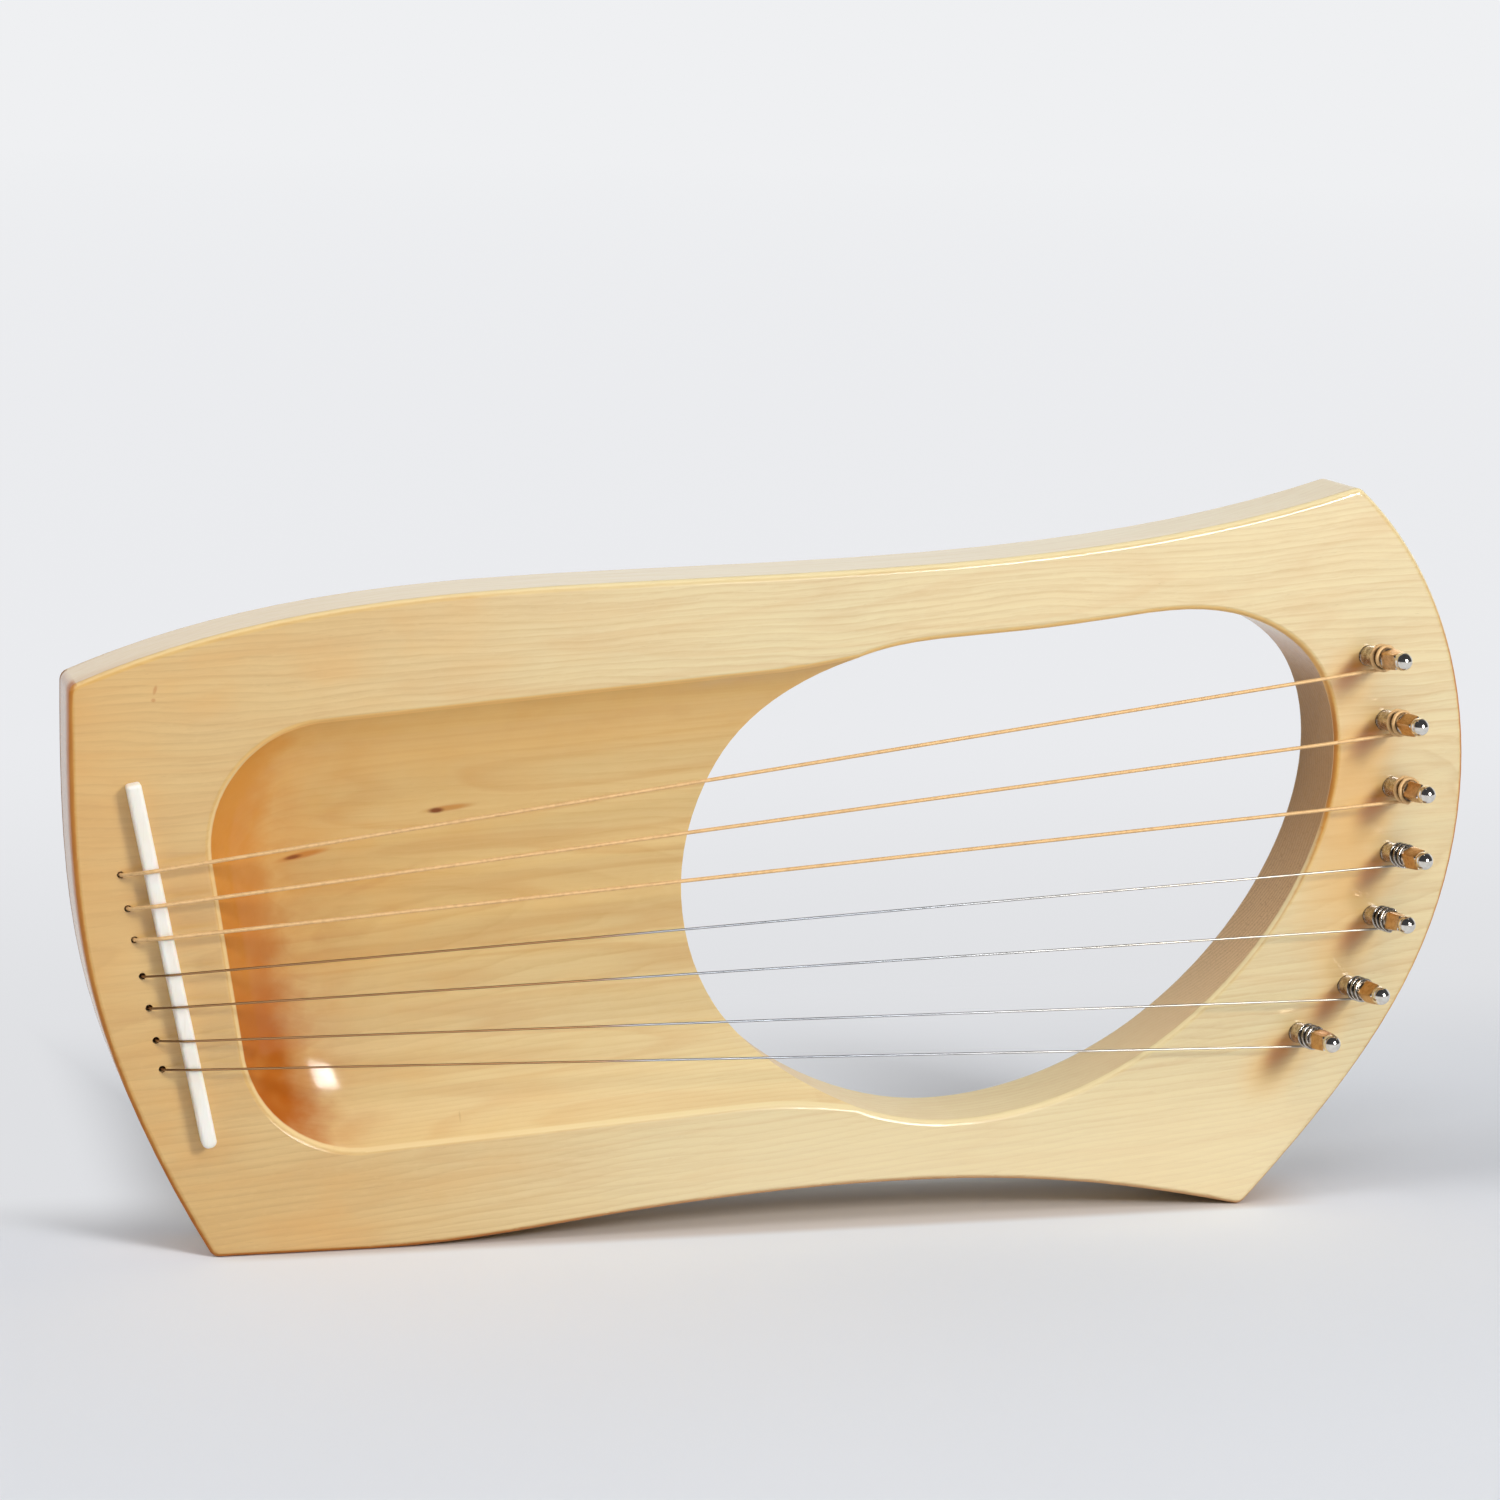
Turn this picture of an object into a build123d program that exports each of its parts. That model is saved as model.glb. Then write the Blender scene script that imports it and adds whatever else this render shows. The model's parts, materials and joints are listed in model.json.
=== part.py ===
from build123d import *
import math
import os

# Seven-string solid-wood lyre, standing on its long lower edge.
#
# Frame, millimetres: X runs along the lyre from the bridge end (-X) to the
# tuning-pin end (+X), Z is up, the front face looks toward -Y and the back
# face toward +Y. Z = 0 is the surface the lower edge stands on. X = 0 and
# Y = 0 are the middle of the whole object, pins included.
#
# Outline positions are (x, z) pairs measured from the lower left foot.

# ---------------------------------------------------------------- sizes
plate_thickness = 25.0
edge_round = 1.6            # round on the front and back edges of the plank
corner_round = 3.0          # round on the four outline corners

foot_x = -153.0             # lower left foot, from the middle of the object
foot_flat = 40.0            # length of the flat under the left foot
left_foot = (0.0, 0.0)
right_foot = (284.0, -0.3)
top_left = (-37.0, 149.3)
top_right = (307.3, 199.2)
top_points = [(25.4, 167.4), (111.0, 174.8), (200.0, 179.7)]
right_points = [(306.3, 25.3), (333.8, 70.0), (342.9, 117.5), (334.8, 160.6)]
left_points = [(-36.8, 125.0), (-30.6, 70.0), (-17.8, 34.0)]
lower_points = [(101.8, 5.5), (179.0, 11.2), (240.0, 8.0)]

# Sound opening, all the way through, counter-clockwise from its lowest point.
hole_points = [
    (201.0, 27.8),
    (248.0, 41.2),
    (280.5, 68.0),
    (299.8, 100.5),
    (304.4, 128.0),
    (296.0, 152.3),
    (271.0, 165.4),
    (237.0, 163.7),
    (203.0, 160.0),
    (170.0, 154.9),
    (141.0, 135.0),
    (125.2, 97.0),
    (137.5, 55.5),
    (166.0, 34.8),
]

# Bowl carved in the front, which runs out into the sound opening. Its
# outline is where the coved wall would stand upright, so the wall meets the
# front face about four millimetres inside it.
bowl_depth = 14.5
bowl_cove = 30.0            # radius where the bowl's wall meets its floor
lip_round = 1.3             # round on the front edge of bowl and opening
bowl_corners = [
    (-12.7, 140.6),
    (7.7, 19.7),
    (151.9, 29.9),
    (206.1, 23.3),
    (252.5, 84.3),
    (242.1, 162.0),
    (181.8, 161.8),
    (149.7, 156.1),
]
bowl_corner_rounds = [36.4, 36.4, 87.6, 47.4, 47.4, 47.4, 92.4, 87.6]

# Bridge strip, let into a slot.
bridge_top = (-21.4, 124.9)     # middle of the strip's upper end
bridge_foot = (-1.5, 30.3)      # middle of the strip's lower end
bridge_width = 3.8
bridge_proud = 4.0
bridge_sunk = 3.0
bridge_top_round = 1.0          # along the edges that the strings cross
bridge_upper_corner = 0.8
bridge_lower_corner = 1.7
slot_clearance = 0.02       # beside the strip
slot_spare = 0.05           # under the strip

# Strings, number 1 is the highest in the frame. The first three are wound
# with bronze, the other four are plain steel.
string_count = 7
wound_strings = 3
wound_diameter = 1.0
plain_diameter = 0.6
anchor_heights = [101.4, 92.7, 84.6, 75.1, 66.8, 58.3, 50.7]
anchor_setback = 7.7        # from the middle of the bridge, along X
anchor_hole = 1.8
saddle_heights = [102.9, 94.1, 85.8, 76.2, 67.8, 58.9, 51.4]
hole_bend = 2.0             # radius where a string leaves its anchor hole
mouth_depth = 0.7           # depth of that bend's corner under the face
saddle_gap = 0.06           # between a string and the top of the bridge
ball_diameter = 3.8
ball_length = 3.0
ball_eye = 1.4
ball_seat = 5.2
ball_seat_depth = 7.0
ball_gap = 0.03

# Tuning pins, in the order of the strings. Each leans back from the pull.
pin_feet = [
    (312.5, 153.3),
    (318.5, 135.4),
    (321.8, 116.8),
    (322.3, 98.5),
    (318.3, 80.9),
    (312.0, 61.3),
    (298.3, 48.4),
]
pin_turned = [12.0, 38.0, 63.0, 25.0, 80.0, 47.0, 5.0]
pin_lean = 10.0
pin_lean_rise = 18.0        # direction of the lean, above +X
pin_diameter = 5.6
pin_sunk = 18.0
pin_bore_gap = 0.05         # radial clearance in the wood
pin_bore_depth = 18.4
pin_end_chamfer = 0.6
shank_end = 9.8
head_wide = 5.0             # across the flats beside the shank
head_narrow = 4.1           # across the flats beside the tip
head_corner = 3.2           # from the axis to the head's round corners
head_end = 15.3
tip_centre = 16.3
tip_radius = 2.5
tip_base = 14.9
eye_diameter = 1.2
eye_height = 9.1

# Turns of string on the pins, from the wood outward.
wound_takeoff = 4.6         # height on the pin where a wound string leaves it
plain_takeoff = 3.4
wound_turns = 2.0
plain_turns = 3.0
wound_pitch = 1.6
plain_pitch = 1.5
string_to_pin = 0.15        # between a string's straight run and the pin
string_to_coil = 0.25       # between the straight run and the first turn
coil_to_pin = 0.03

# ------------------------------------------------------ derived positions
tip_reach = tip_centre * math.cos(math.radians(pin_lean)) + tip_radius
front_y = (tip_reach - plate_thickness) / 2
back_y = front_y + plate_thickness
lean = math.radians(pin_lean)
rise = math.radians(pin_lean_rise)
pin_axis = Vector(
    math.sin(lean) * math.cos(rise),
    -math.cos(lean),
    math.sin(lean) * math.sin(rise),
)


def face_point(spot, y):
    """A point at the given (x, z) of the outline, at depth y."""
    return Vector(foot_x + spot[0], y, spot[1])


def flat_point(spot):
    """The same point in a front-view sketch."""
    return (foot_x + spot[0], spot[1])


def between(first, last, share):
    """The (x, z) spot a share of the way from first to last."""
    return (
        first[0] + (last[0] - first[0]) * share,
        first[1] + (last[1] - first[1]) * share,
    )


def is_wound(number):
    return number <= wound_strings


def string_diameter(number):
    return wound_diameter if is_wound(number) else plain_diameter


def takeoff_height(number):
    return wound_takeoff if is_wound(number) else plain_takeoff


def bridge_spot(height):
    """The spot on the bridge's middle line at a height above the feet."""
    share = (bridge_top[1] - height) / (bridge_top[1] - bridge_foot[1])
    return between(bridge_top, bridge_foot, share)


def saddle_spot(number):
    return bridge_spot(saddle_heights[number - 1])


def anchor_spot(number):
    spot = bridge_spot(anchor_heights[number - 1])
    return (spot[0] - anchor_setback, spot[1])


def front_face(lines):
    """A front-view face from lines drawn with x across and z up."""
    return make_face(Plane.XZ * lines)


def prism(face, near, far):
    """The solid of a front-view face from depth near to depth far."""
    return extrude(Pos(0, near, 0) * face, amount=far - near, dir=(0, 1, 0))


def edges_at_depth(solid, y):
    """The solid's edges that lie flat at depth y."""
    found = []
    for edge in solid.edges():
        box = edge.bounding_box()
        if box.size.Y < 0.001 and abs(box.max.Y - y) < 0.001:
            found.append(edge)
    return found


# ---------------------------------------------------------------- plank
def plank_outline():
    """Waisted outline, one curve to a side."""
    flat_end = (foot_flat, 0.0)
    flat = Line(flat_point(left_foot), flat_point(flat_end))
    lower = Spline(
        [flat_point(p) for p in [flat_end] + lower_points + [right_foot]],
        tangents=[(1, 0), (1, -0.24)],
    )
    right = Spline([flat_point(p) for p in [right_foot] + right_points + [top_right]])
    top = Spline([flat_point(p) for p in [top_right] + top_points[::-1] + [top_left]])
    left = Spline([flat_point(p) for p in [top_left] + left_points + [left_foot]])
    return front_face(Curve() + [flat, lower, right, top, left])


def rounded_plank():
    plank = prism(plank_outline(), front_y, back_y)
    flat_end_x = foot_x + foot_flat
    corners = [e for e in plank.edges().filter_by(Axis.Y) if abs(e.center().X - flat_end_x) > 1]
    plank = fillet(corners, corner_round)
    rims = edges_at_depth(plank, front_y) + edges_at_depth(plank, back_y)
    return fillet(rims, edge_round)


def bowl_cutter():
    """Bowl with coved walls and a flat floor."""
    corners = [flat_point(p) for p in bowl_corners]
    loop = FilletPolyline(*corners, radius=bowl_corner_rounds, close=True)
    floor_y = front_y + bowl_depth
    block = prism(front_face(loop), floor_y - bowl_cove - 6, floor_y)
    return fillet(edges_at_depth(block, floor_y), bowl_cove)


def opening_cutter():
    """Sound opening, flared to leave round edges at both faces."""
    loop = Spline([flat_point(p) for p in hole_points], periodic=True)
    opening = prism(front_face(Curve() + [loop]), front_y, back_y)
    reach = opening.bounding_box()
    middle = reach.center()
    block = Box(reach.size.X + 20, plate_thickness, reach.size.Z + 20)
    block = Pos(middle.X, middle.Y, middle.Z) * block
    ring = block - opening
    rims = [e for e in ring.edges() if e.geom_type == GeomType.BSPLINE]
    rims = [e for e in rims if e.bounding_box().size.Y < 0.001]
    ring = fillet(rims, edge_round)
    return block - ring


def bridge_bar(grow, near, far):
    """Straight bar with round corners, from depth near to depth far."""
    run_x = bridge_foot[0] - bridge_top[0]
    run_z = bridge_foot[1] - bridge_top[1]
    run = math.hypot(run_x, run_z)
    angle = math.degrees(math.atan2(run_z, run_x))
    middle = between(bridge_top, bridge_foot, 0.5)
    bar = Rectangle(run + 2 * grow, bridge_width + 2 * grow)
    ends = bar.vertices().group_by(Axis.X)
    bar = fillet(ends[0], bridge_upper_corner + grow)
    lower = bar.vertices().group_by(Axis.X)[-1]
    bar = fillet(lower, bridge_lower_corner + grow)
    placed = Pos(*flat_point(middle)) * Rot(0, 0, angle) * bar
    return prism(Plane.XZ * placed, near, far)


def anchor_cutter(number):
    """String hole through the plank, with a seat for the ball end behind."""
    spot = anchor_spot(number)
    seat_y = back_y - ball_seat_depth
    start = Plane(origin=face_point(spot, front_y - 2), x_dir=(1, 0, 0), z_dir=(0, 1, 0))
    behind = Plane(origin=face_point(spot, seat_y), x_dir=(1, 0, 0), z_dir=(0, 1, 0))
    hole = extrude(start * Circle(anchor_hole / 2), amount=plate_thickness + 4)
    seat = extrude(behind * Circle(ball_seat / 2), amount=ball_seat_depth + 2)
    return hole + seat


def pin_plane(number):
    """Plane on the front face, looking out along the leaning pin."""
    foot = face_point(pin_feet[number - 1], front_y)
    return Plane(origin=foot, x_dir=(0, 0, 1), z_dir=pin_axis)


def pin_bore(number):
    """Leaning blind hole that a tuning pin turns in."""
    radius = pin_diameter / 2 + pin_bore_gap
    length = pin_bore_depth + 3
    return pin_plane(number) * Pos(0, 0, 3 - length / 2) * Cylinder(radius, length)


def body():
    """The plank, carved, slotted and bored."""
    plank = rounded_plank() - bowl_cutter()
    lip = []
    for edge in edges_at_depth(plank, front_y):
        box = edge.bounding_box()
        if box.min.Z > 20 and box.max.Z < 165 and box.min.X > foot_x - 15:
            lip.append(edge)
    plank = fillet(lip, lip_round)
    plank = plank - opening_cutter()
    plank = plank - bridge_bar(slot_clearance, front_y - 2, front_y + bridge_sunk + slot_spare)
    for number in range(1, string_count + 1):
        plank = plank - anchor_cutter(number)
        plank = plank - pin_bore(number)
    return plank


# --------------------------------------------------------------- bridge
def bridge():
    """Bone strip that the strings cross, round along its top edges."""
    top_y = front_y - bridge_proud
    bar = bridge_bar(0, top_y, front_y + bridge_sunk)
    return fillet(edges_at_depth(bar, top_y), bridge_top_round)


# ---------------------------------------------------------- tuning pins
def tuning_pin(number):
    """Steel pin: round shank, square tapered head, domed tip."""
    radius = pin_diameter / 2
    shank_length = shank_end + pin_sunk
    shank = Pos(0, 0, shank_end - shank_length / 2) * Cylinder(radius, shank_length)
    shank = chamfer(shank.edges().sort_by(Axis.Z)[0], pin_end_chamfer)
    wide = Plane.XY.offset(shank_end) * Rectangle(head_wide, head_wide)
    narrow = Plane.XY.offset(head_end) * Rectangle(head_narrow, head_narrow)
    head = loft([wide.face(), narrow.face()])
    head_middle = (shank_end + head_end) / 2
    head_round = Pos(0, 0, head_middle) * Cylinder(head_corner, head_end - shank_end)
    head = Rot(0, 0, pin_turned[number - 1]) * (head & head_round)
    tip = Pos(0, 0, tip_centre) * Sphere(tip_radius)
    below = Pos(0, 0, tip_base - 5) * Box(20, 20, 10)
    tip = tip - below
    eye = Pos(0, 0, eye_height) * Rot(90, 0, pin_turned[number - 1])
    eye = eye * Cylinder(eye_diameter / 2, 3 * radius)
    return pin_plane(number) * (shank + head + tip - eye)


def coil(number):
    """The turns of a string round its pin."""
    diameter = string_diameter(number)
    turns = wound_turns if is_wound(number) else plain_turns
    pitch = wound_pitch if is_wound(number) else plain_pitch
    radius = pin_diameter / 2 + coil_to_pin + diameter / 2
    start = takeoff_height(number) + diameter + string_to_coil
    path = Helix(pitch=pitch, height=turns * pitch, radius=radius, center=(0, 0, start))
    section = Plane(origin=path @ 0, z_dir=path % 0) * Circle(diameter / 2)
    return pin_plane(number) * sweep(section, path=path, is_frenet=True)


# -------------------------------------------------------------- strings
def takeoff_point(number, saddle):
    """Where the straight run from the saddle point touches the pin's lower
    side, clear of the shank by the string_to_pin gap."""
    diameter = string_diameter(number)
    centre = face_point(pin_feet[number - 1], front_y) + pin_axis * takeoff_height(number)
    reach = pin_diameter / 2 + string_to_pin + diameter / 2
    touch = centre
    for step in range(6):
        side = pin_axis.cross((touch - saddle).normalized()).normalized()
        if side.Z > 0:
            side = side * -1
        touch = centre + side * reach
    return touch


def saddle_bend(number):
    """Radius of the string's axis over the round edge of the bridge."""
    return bridge_top_round + saddle_gap + string_diameter(number) / 2


def string_corners(number):
    """Corners of the string's route: ball end, hole mouth, bridge, pin. The
    corner at the bridge stands toward the anchor, so that the bend has the
    same centre as the bridge's round edge."""
    anchor = anchor_spot(number)
    ball = face_point(anchor, ball_centre_y())
    mouth = face_point(anchor, front_y - mouth_depth)
    saddle_y = front_y - bridge_proud - saddle_gap - string_diameter(number) / 2
    edge = saddle_spot(number)
    edge = (edge[0] - bridge_width / 2 + bridge_top_round, edge[1])
    crown = face_point(edge, saddle_y)
    touch = takeoff_point(number, crown)
    run = (touch - crown).normalized()
    turn = math.radians((crown - mouth).get_angle(run))
    saddle = crown - run * (saddle_bend(number) * math.tan(turn / 2))
    return [ball, mouth, saddle, touch]


def string(number):
    """One taut string, whole, from its ball end to its tuning pin."""
    bends = [hole_bend, saddle_bend(number)]
    route = FilletPolyline(*string_corners(number), radius=bends)
    section = Plane(origin=route @ 0, z_dir=route % 0) * Circle(string_diameter(number) / 2)
    return sweep(section, path=route)


def ball_centre_y():
    return back_y - ball_seat_depth + ball_gap + ball_diameter / 2


def ball_end(number):
    """Brass barrel that the string's end is looped through."""
    barrel = Rot(0, 90, 0) * Cylinder(ball_diameter / 2, ball_length)
    eye = Rot(90, 0, 0) * Cylinder(ball_eye / 2, ball_diameter * 2)
    centre = face_point(anchor_spot(number), ball_centre_y())
    return Pos(*centre) * (barrel - eye)


# ---------------------------------------------------------------- write
nodes = {"body": body(), "bridge": bridge()}
for number in range(1, string_count + 1):
    nodes[f"string_{number}"] = string(number)
    nodes[f"ball_end_{number}"] = ball_end(number)
    nodes[f"tuning_pin_{number}"] = tuning_pin(number)
    nodes[f"string_coil_{number}"] = coil(number)

os.makedirs("parts", exist_ok=True)
for name, shape in nodes.items():
    export_step(shape, f"parts/{name}.step")
    print(name, shape.is_valid, round(shape.volume, 2), len(shape.solids()))
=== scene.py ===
import json
import math

import bpy
from mathutils import Matrix, Vector


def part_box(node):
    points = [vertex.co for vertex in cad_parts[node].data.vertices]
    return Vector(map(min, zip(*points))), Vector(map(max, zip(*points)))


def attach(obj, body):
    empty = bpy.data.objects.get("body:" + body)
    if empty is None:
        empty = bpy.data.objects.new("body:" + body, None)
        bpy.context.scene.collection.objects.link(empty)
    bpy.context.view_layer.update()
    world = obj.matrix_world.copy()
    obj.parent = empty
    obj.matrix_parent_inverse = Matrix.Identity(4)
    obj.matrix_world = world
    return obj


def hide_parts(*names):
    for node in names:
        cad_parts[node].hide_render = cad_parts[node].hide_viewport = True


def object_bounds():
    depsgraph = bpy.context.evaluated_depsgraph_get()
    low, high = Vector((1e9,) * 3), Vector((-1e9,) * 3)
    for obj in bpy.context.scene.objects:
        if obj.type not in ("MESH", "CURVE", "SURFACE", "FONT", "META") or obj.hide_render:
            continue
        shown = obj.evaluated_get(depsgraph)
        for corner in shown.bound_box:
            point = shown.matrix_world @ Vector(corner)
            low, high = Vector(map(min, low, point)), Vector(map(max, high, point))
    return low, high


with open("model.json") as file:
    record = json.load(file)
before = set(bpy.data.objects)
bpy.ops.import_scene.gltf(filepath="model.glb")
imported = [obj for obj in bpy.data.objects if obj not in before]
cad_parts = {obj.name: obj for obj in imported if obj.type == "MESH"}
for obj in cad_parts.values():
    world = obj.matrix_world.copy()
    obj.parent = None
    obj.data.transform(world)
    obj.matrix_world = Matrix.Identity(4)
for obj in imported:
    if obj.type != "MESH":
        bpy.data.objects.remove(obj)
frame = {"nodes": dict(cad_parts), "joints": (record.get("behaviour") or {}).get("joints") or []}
cad_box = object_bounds()

MM = 0.001
STRINGS = 7
WOUND = 3                      # strings 1 to 3 are wound, the rest are plain
body_lo, body_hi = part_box("body")
FRONT_Y = body_lo.y
BACK_Y = body_hi.y

# ------------------------------------------------------------------ camera
CAMERA_AT = Vector((-0.28858, -0.96629, 0.31178))
CAMERA_YAW = math.radians(15.90)       # to the right of +Y
CAMERA_PITCH = math.radians(-10.27)
CAMERA_ROLL = math.radians(1.857)
CAMERA_LENS = 93.72


def make_camera():
    cp, sp = math.cos(CAMERA_PITCH), math.sin(CAMERA_PITCH)
    look = Vector((math.sin(CAMERA_YAW) * cp, math.cos(CAMERA_YAW) * cp, sp))
    right = Vector((math.cos(CAMERA_YAW), -math.sin(CAMERA_YAW), 0))
    up = right.cross(look)
    cr, sr = math.cos(CAMERA_ROLL), math.sin(CAMERA_ROLL)
    rolled_right = right * cr + up * sr
    rolled_up = up * cr - right * sr
    data = bpy.data.cameras.new("camera")
    data.sensor_width = 36
    data.lens = CAMERA_LENS
    data.clip_start, data.clip_end = 0.02, 60
    camera = bpy.data.objects.new("camera", data)
    turn = Matrix((rolled_right, rolled_up, -look)).transposed()
    camera.matrix_world = Matrix.Translation(CAMERA_AT) @ turn.to_4x4()
    bpy.context.scene.collection.objects.link(camera)
    bpy.context.scene.camera = camera


make_camera()


# --------------------------------------------------------- material helpers
class Tree:
    """A short way to write shader nodes."""

    def __init__(self, owner):
        owner.use_nodes = True
        self.tree = owner.node_tree
        self.nodes = self.tree.nodes

    def node(self, kind, **settings):
        made = self.nodes.new(kind)
        for key, value in settings.items():
            setattr(made, key, value)
        return made

    def put(self, socket, value):
        """Links value to the socket, or sets it where value is a constant."""
        if isinstance(value, bpy.types.NodeSocket):
            self.tree.links.new(value, socket)
        elif value is not None:
            socket.default_value = value

    def math(self, operation, a, b=None, c=None, clamp=False):
        made = self.node("ShaderNodeMath", operation=operation, use_clamp=clamp)
        for socket, value in zip(made.inputs, (a, b, c)):
            self.put(socket, value)
        return made.outputs[0]

    def times(self, *factors, clamp=False):
        """The product of the factors. With clamp, each step stays in 0 to 1."""
        product = factors[0]
        for factor in factors[1:]:
            product = self.math("MULTIPLY", product, factor, clamp=clamp)
        return product

    def larger(self, *values):
        """The largest of the values."""
        largest = values[0]
        for value in values[1:]:
            largest = self.math("MAXIMUM", largest, value)
        return largest

    def vector(self, operation, a, b=None, scale=None):
        made = self.node("ShaderNodeVectorMath", operation=operation)
        self.put(made.inputs[0], a)
        self.put(made.inputs[1], b)
        if scale is not None:
            self.put(made.inputs["Scale"], scale)
        return made.outputs["Value" if operation == "LENGTH" else "Vector"]

    def split(self, vector):
        made = self.node("ShaderNodeSeparateXYZ")
        self.put(made.inputs[0], vector)
        return made.outputs

    def join(self, x, y, z):
        made = self.node("ShaderNodeCombineXYZ")
        for socket, value in zip(made.inputs, (x, y, z)):
            self.put(socket, value)
        return made.outputs[0]

    def noise(self, vector, scale=1.0, detail=3.0, rough=0.5):
        """Noise from about 0 to 1, middle 0.5."""
        made = self.node("ShaderNodeTexNoise")
        self.put(made.inputs["Vector"], vector)
        made.inputs["Scale"].default_value = scale
        made.inputs["Detail"].default_value = detail
        made.inputs["Roughness"].default_value = rough
        return made.outputs["Fac"]

    def stretched(self, place, scale, detail, rough=0.5):
        """Noise with a scale of its own on each axis."""
        return self.noise(self.vector("MULTIPLY", place, scale), detail=detail, rough=rough)

    def ramp(self, value, low, high, out_low=0.0, out_high=1.0, smooth=True):
        made = self.node("ShaderNodeMapRange")
        made.interpolation_type = "SMOOTHSTEP" if smooth else "LINEAR"
        self.put(made.inputs["Value"], value)
        made.inputs["From Min"].default_value = low
        made.inputs["From Max"].default_value = high
        made.inputs["To Min"].default_value = out_low
        made.inputs["To Max"].default_value = out_high
        return made.outputs["Result"]

    def mix(self, share, first, second):
        made = self.node("ShaderNodeMix", data_type="RGBA")
        self.put(made.inputs[0], share)
        for socket, value in ((made.inputs[6], first), (made.inputs[7], second)):
            if isinstance(value, tuple):
                value = (*value, 1.0)
            self.put(socket, value)
        return made.outputs[2]

    def bump(self, height, depth, strength):
        """Bump of a real depth in metres."""
        made = self.node("ShaderNodeBump")
        made.inputs["Strength"].default_value = strength
        made.inputs["Distance"].default_value = depth
        self.put(made.inputs["Height"], height)
        return made.outputs[0]


class Surface(Tree):
    """The nodes of a new material."""

    def __init__(self, name):
        self.material = bpy.data.materials.new(name)
        super().__init__(self.material)
        self.shader = self.nodes["Principled BSDF"]

    def place_mm(self):
        """The piece's own coordinates, in millimetres."""
        spot = self.node("ShaderNodeTexCoord").outputs["Object"]
        return self.vector("SCALE", spot, scale=1000.0)

    def set(self, **values):
        for key, value in values.items():
            socket = self.shader.inputs[key.replace("_", " ")]
            if isinstance(value, tuple):
                value = (*value, 1.0)
            self.put(socket, value)

    def show(self, shader):
        """Puts another shader's output on the surface."""
        self.put(self.nodes["Material Output"].inputs["Surface"], shader)


def linear(red, green, blue):
    """A colour given in sRGB, 0 to 255, as linear values."""
    found = []
    for value in (red, green, blue):
        value /= 255
        low = value / 12.92
        high = ((value + 0.055) / 1.055) ** 2.4
        found.append(low if value <= 0.04045 else high)
    return tuple(found)


# ------------------------------------------------------------------- wood
PLANK_THICK = (BACK_Y - FRONT_Y) / MM
GRAIN_RISE = math.radians(4.5)     # the grain rises toward the pins
RING_WIDTH = 1.45                  # mm
TRUNK_BEHIND = 62.0                # mm behind the frame's middle
TRUNK_LEAN = 0.030
TRUNK_HEIGHT = 92.0

# how fast each noise changes per mm: along, into and across the plank
SLOW_WANDER = (0.010, 0.028, 0.028)
QUICK_WANDER = (0.05, 0.14, 0.14)
FIBRES = (0.022, 0.75, 0.75)
THREADS = (0.16, 3.6, 3.6)
CLOUDS = (0.016, 0.035, 0.035)
PORES = (0.30, 4.5, 4.5)
FLECKS = (0.35, 0.9, 0.9)
FIGURE = (0.0040, 0.040, 0.040)
BLOTCHES = (0.045, 0.09, 0.09)
STAINS = (0.10, 0.10, 0.16)

WOOD_PALE = linear(224, 206, 156)      # toward the pins
WOOD_CREAM = linear(226, 203, 150)
WOOD_HONEY = linear(221, 184, 118)     # toward the bridge
WOOD_AMBER = linear(210, 168, 100)
WOOD_BOWL = linear(224, 180, 106)
WOOD_LINE = linear(184, 138, 78)
# pores, and painted shade at the back of the left end wall
WOOD_PORE_AND_SHADE = linear(140, 98, 56)
WOOD_FIGURE = linear(196, 134, 62)
WOOD_END = linear(206, 132, 40)        # stained end grain of the hollow
WOOD_DEEP = linear(176, 92, 24)
WOOD_WALL = linear(164, 116, 64)       # walls of the opening and the outline
WOOD_SHOULDER = linear(196, 146, 96)
# painted light on the opening's walls low down
WOOD_WALL_PAINTED_LIGHT = linear(226, 186, 140)
WOOD_SAWN = linear(138, 92, 48)
# brown painted shade on rounded edges and on the left end wall; edges that face sideways are end
# grain as well
WOOD_BROWN_SHADE = linear(184, 108, 40)      # rounded edges
# painted highlight and painted light: where edges and walls look up, low in the hollow and along the
# lower edge
WOOD_PAINTED_LIGHT = linear(248, 228, 182)
# painted glow: bounce light on wood that looks down, under the hollow's upper lip and on edges higher
# up
WOOD_PAINTED_GLOW = linear(244, 198, 124)
WOOD_GOLD = linear(222, 164, 84)       # blotches on the face
# outer part of the painted pin shadows, and warmer along the opening's far side
WOOD_HALO = linear(226, 170, 78)
# dark core of the painted pin shadows
WOOD_PIN_SHADOW = linear(190, 116, 30)

# ellipses on the face: x, z, half length, half width in mm, tilt in degrees
OPENING = (52.0, 92.0, 122.0, 78.0, 14)
FAR_RIM = (155.0, 108.0, 52.0, 17.0, 82)

# small marks in the figure: an ellipse, its strength and its colour
WOOD_MARKS = [
    (-91.0, 113.8, 9.0, 1.1, 7, 0.75, linear(190, 122, 42)),
    (-94.2, 113.2, 2.8, 0.95, 4, 0.95, linear(122, 60, 16)),
    (-129.0, 102.3, 9.0, 1.2, 12, 0.8, linear(196, 116, 36)),
    (-131.5, 101.8, 3.2, 0.75, 10, 0.85, linear(126, 60, 16)),
    (-108.7, 95.1, 16.0, 1.3, 22, 0.22, linear(196, 140, 76)),
    (-104.0, 88.0, 20.0, 1.2, 14, 0.20, linear(196, 140, 76)),
    (-168.8, 148.3, 1.7, 0.65, 75, 0.5, linear(190, 112, 40)),
    (-169.2, 145.7, 0.8, 0.7, 0, 0.5, linear(190, 112, 40)),
    (-88.1, 33.0, 1.7, 0.35, 88, 0.55, linear(150, 100, 50)),
]

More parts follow.
